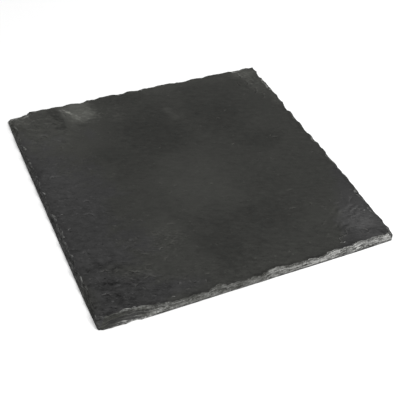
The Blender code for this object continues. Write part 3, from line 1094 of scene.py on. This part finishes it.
def dusty_break(tree, place, crumbs, ragged, blue):
    """The colour of broken stone: dark at the foot, with painted contact shade, green grey above
    with dark pit marks of painted shade, and pale dust on both.
    """
    dust, dusty_foot, dusty_lip, foot_top = (attribute(tree, name) for name in DUST_NAMES)
    off_front = attribute(tree, "off_front")
    height = add(tree, "ShaderNodeSeparateXYZ", {0: place}).outputs["Z"]
    uneven = maths(tree, "MULTIPLY_ADD", ragged, FOOT_RAGGED, height)
    above_foot = maths(tree, "SUBTRACT", uneven, foot_top)
    above_foot = ramp(tree, above_foot, -FOOT_BLEND, FOOT_BLEND)
    # Pit marks of painted shade, on all sides but the front.
    pit_shade = maths(tree, "MULTIPLY", ramp(tree, grain(tree, place, "pit_shade"), *PIT_SHADE), off_front)
    above_foot = maths(tree, "SUBTRACT", above_foot, pit_shade)
    fresh = blended(tree, maths(tree, "MULTIPLY", blue, off_front), GREEN_BREAK, GREY_BREAK)
    stone = blended(tree, maths(tree, "MAXIMUM", above_foot, 0.0), SHADED_FOOT_STONE, fresh)
    share = between(tree, above_foot, dusty_foot, dust)
    share = between(tree, ramp(tree, uneven, *LIP_BOTTOM), share, dusty_lip)
    return blended(tree, dust_cover(tree, place, crumbs, share, off_front), stone, PALE_BREAK)


def bent(tree, place):
    """Places shifted by a slow noise, so that what is drawn on them is no true ellipse."""
    bend = add(tree, "ShaderNodeTexNoise",
               {"Vector": place, "Scale": 1 / BEND_LENGTH, "Detail": BEND_DETAIL})
    shift = vectors(tree, "SUBTRACT", bend.outputs["Color"], (0.5,) * 3)
    return vectors(tree, "MULTIPLY_ADD", shift, (BEND, BEND, 0), place)


def cleft_tone(tree, place, along, patterns, lively):
    """How light the cleft stone is, where 1 is plain stone."""
    x, _, height = add(tree, "ShaderNodeSeparateXYZ", {0: place}).outputs
    above = ramp(tree, height, *ABOVE)
    patches = soft_patches(tree, bent(tree, place), patterns["ragged"], PATCHES)
    tone = maths(tree, "MULTIPLY_ADD", patches, above, 1.0)
    tone = stirred(tree, tone, grain(tree, along, "clouds"), CLOUDY)
    tone = stirred(tree, tone, grain(tree, along, "blotches"), ramp(tree, x, *BLOTCHY))
    marked = maths(tree, "MULTIPLY_ADD", patterns["specks"], SPECKED, patterns["dashes"])
    for name, amount in MARKED:
        marked = stirred(tree, marked, patterns[name], amount)
    tone = maths(tree, "MULTIPLY_ADD", marked, lively, tone)
    # Painted highlight (with wear) on crests, painted shade in hollows, lip feet and the rim.
    worn = ramp(tree, patterns["mottle"], *WEAR_AND_PAINTED_LIGHT)
    tone = maths(tree, "MULTIPLY_ADD", attribute(tree, "crest"), worn, tone)
    scraped = soft_patches(tree, place, patterns["ragged"], SCUFFS)
    scraped = maths(tree, "MULTIPLY", scraped, above)
    scratches = ramp(tree, grain(tree, along, "scratches"), *SCRATCHED)
    scraped = maths(tree, "MULTIPLY", scraped, scratches)
    return maths(tree, "MULTIPLY_ADD", scraped, SCRAPED, tone)


def fine_bumps(tree, patterns, lively):
    """The relief that is too fine for the mesh."""
    relief = patterns["fine"]
    for name, amount in BUMPS:
        relief = maths(tree, "MULTIPLY_ADD", patterns[name], amount, relief)
    relief = maths(tree, "MULTIPLY", relief, lively)
    bump = add(tree, "ShaderNodeBump",
               {"Height": relief, "Distance": BUMP_DEPTH, "Strength": 1.0})
    return bump.outputs[0]


def slate():
    """Dark cleft slate, paler and rougher where it is broken."""
    material = bpy.data.materials.new("slate")
    material.use_nodes = True
    tree = material.node_tree
    shader = tree.nodes["Principled BSDF"].inputs
    place = add(tree, "ShaderNodeTexCoord").outputs["Object"]
    turned = {"Vector": place, "Rotation": (0, 0, -LINEATION)}
    along = add(tree, "ShaderNodeMapping", turned).outputs[0]
    broken = attribute(tree, "broken")
    crumbs = grain(tree, place, "crumbs")
    patterns = {name: grain(tree, along, name) for name in ("mottle", "streaks", "fine")}
    patterns["dashes"], patterns["specks"] = flecks(tree, along)
    ragged = patterns["ragged"] = maths(tree, "SUBTRACT", patterns["mottle"], 0.5)
    lively = maths(tree, "ADD", soft_patches(tree, place, ragged, LIVELY), CALM)

    blue = blueness(tree, place)
    cleft = vectors(tree, "SCALE", blended(tree, blue, OLIVE, BLUE_GREY))
    tree.links.new(cleft_tone(tree, place, along, patterns, lively), cleft.node.inputs["Scale"])
    dusted = maths(tree, "MULTIPLY", broken, ramp(tree, crumbs, *DUSTED))
    colour = blended(tree, dusted, cleft, dusty_break(tree, place, crumbs, ragged, blue))
    tree.links.new(colour, shader["Base Color"])

    smoothest, from_mottle, from_break = ROUGHNESS
    rough = maths(tree, "MULTIPLY_ADD", patterns["mottle"], from_mottle, smoothest)
    rough = maths(tree, "MULTIPLY_ADD", broken, from_break, rough)
    tree.links.new(rough, shader["Roughness"])
    shine, less = SHINE
    shine = maths(tree, "MULTIPLY_ADD", broken, less, shine)
    tree.links.new(shine, shader["Specular IOR Level"])
    tree.links.new(fine_bumps(tree, patterns, lively), shader["Normal"])
    return material


def backdrop():
    """A plain matt off-white."""
    material = bpy.data.materials.new("backdrop")
    material.use_nodes = True
    shader = material.node_tree.nodes["Principled BSDF"]
    shader.inputs["Base Color"].default_value = (FLOOR_GREY, FLOOR_GREY, FLOOR_GREY, 1)
    shader.inputs["Roughness"].default_value = 1.0
    shader.inputs["Specular IOR Level"].default_value = 0.0
    return material


# ---- Setting -----------------------------------------------------------------------

def make_camera():
    """The camera, placed by its angles round the slab."""
    around, up, lean = (math.radians(v) for v in (VIEW_AZIMUTH, VIEW_ELEVATION, VIEW_ROLL))
    back = Vector((
        math.sin(around) * math.cos(up), -math.cos(around) * math.cos(up), math.sin(up)
    ))
    level = Vector((math.cos(around), math.sin(around), 0))
    upright = back.cross(level)
    right = math.cos(lean) * level + math.sin(lean) * upright
    above = -math.sin(lean) * level + math.cos(lean) * upright
    camera = bpy.data.objects.new("camera", bpy.data.cameras.new("camera"))
    camera.data.sensor_width = SENSOR
    camera.data.lens = FOCAL_SHARE * SENSOR
    camera.data.clip_start = NEAREST
    turn = Matrix((right, above, back)).transposed().to_4x4()
    camera.matrix_world = Matrix.Translation(Vector(VIEW_TARGET) + VIEW_DISTANCE * back) @ turn
    bpy.context.scene.collection.objects.link(camera)
    bpy.context.scene.camera = camera


def make_floor():
    """The pale floor that the slab lies on."""
    half = FLOOR_HALF
    mesh = bpy.data.meshes.new("floor")
    corners = [(-half, -half), (half, -half), (half, half), (-half, half)]
    mesh.from_pydata([(x, y, FLOOR_HEIGHT) for x, y in corners], [], [(0, 1, 2, 3)])
    mesh.materials.append(backdrop())
    floor = bpy.data.objects.new("floor", mesh)
    bpy.context.scene.collection.objects.link(floor)


def soft_light(name, place, size, watts):
    """A square lamp at this place, turned to the slab."""
    lamp = bpy.data.lights.new(name, "AREA")
    lamp.size = size
    lamp.energy = watts
    made = bpy.data.objects.new(name, lamp)
    made.location = place
    made.rotation_euler = (-Vector(place)).to_track_quat("-Z", "Y").to_euler()
    bpy.context.scene.collection.objects.link(made)


def light_scene():
    """Even white studio light, a little stronger from the front right."""
    world = bpy.data.worlds.new("studio")
    world.use_nodes = True
    sky = world.node_tree.nodes["Background"].inputs
    sky["Strength"].default_value = SKY_STRENGTH
    sky["Color"].default_value = (1, 1, 1, 1)
    bpy.context.scene.world = world
    bpy.context.scene.view_settings.view_transform = "Standard"
    for lamp in LAMPS:
        soft_light(*lamp)


def make_slab():
    """The slab itself, finished and named for the part it stands for."""
    slab = bpy.data.objects.new("slate_slab", slab_mesh())
    bpy.context.scene.collection.objects.link(slab)
    cleave(slab, slate())
    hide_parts("slab")
    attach(slab, "root")


make_camera()
make_floor()
light_scene()
make_slab()
